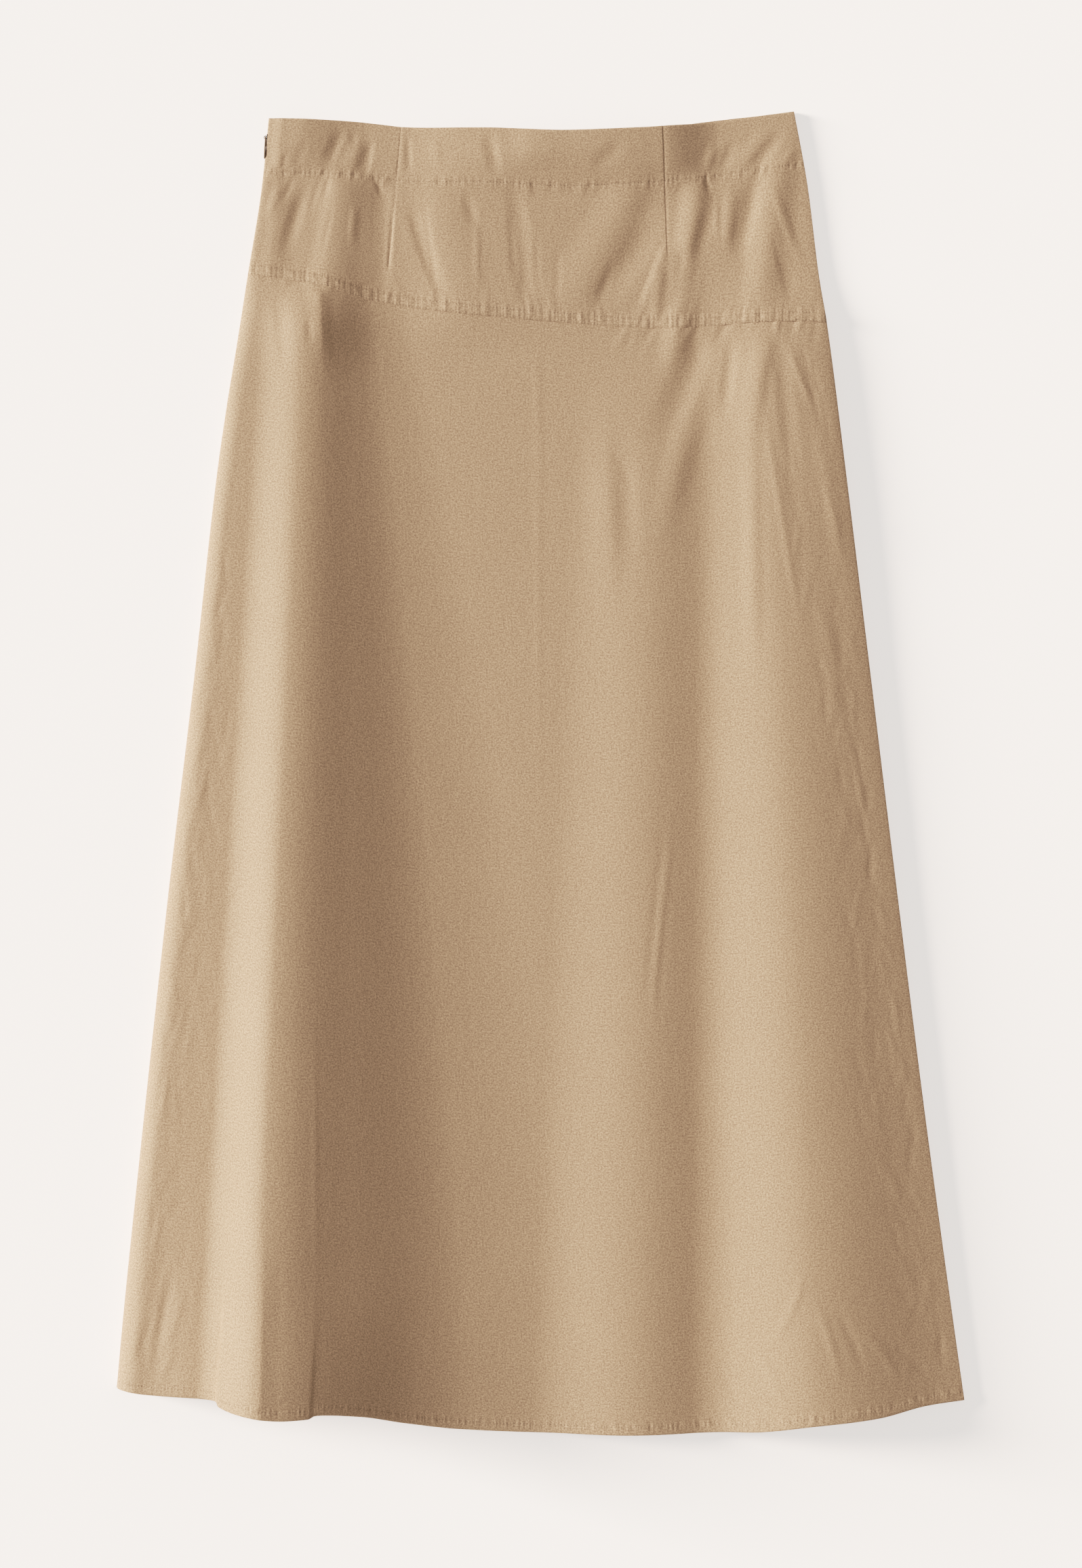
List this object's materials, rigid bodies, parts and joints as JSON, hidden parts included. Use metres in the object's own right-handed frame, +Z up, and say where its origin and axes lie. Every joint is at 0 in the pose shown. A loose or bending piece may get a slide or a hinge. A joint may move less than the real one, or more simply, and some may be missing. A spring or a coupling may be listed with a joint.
{
  "type": "asymmetric a-line skirt",
  "caption": "Midi A-line skirt laid flat, front up: slanted yoke seam, darted yoke, flared panel with soft flutes, concealed side zip with a pull tab that turns.",
  "frame": {"origin": "on the surface that the skirt lies on, under the middle of the skirt's box", "axes": "+X across the skirt, to the right as seen from above; +Y along its length, to the waist; +Z up from the surface, out of the front"},
  "size_m": [0.5802, 0.906, 0.0526],
  "materials": {
    "cotton": "matt plain-weave cotton, washed, tan",
    "zip_tape": "woven tape and fine coil, tan",
    "zip_metal": "lacquered, satin, tan"
  },
  "bodies": {
    "skirt": {"front_yoke": "cotton", "back_yoke": "cotton", "front_skirt": "cotton", "back_skirt": "cotton", "zip_chain": "zip_tape", "zip_slider": "zip_metal"},
    "pull": {"zip_pull": "zip_metal"}
  },
  "joints": [
    {"name": "pull_turn", "type": "hinge", "parent": "skirt", "child": "pull", "pos_m": [-0.18854, 0.435, 0.00365], "axis": [0, 0, -1], "range_deg": [0, 160]}
  ]
}
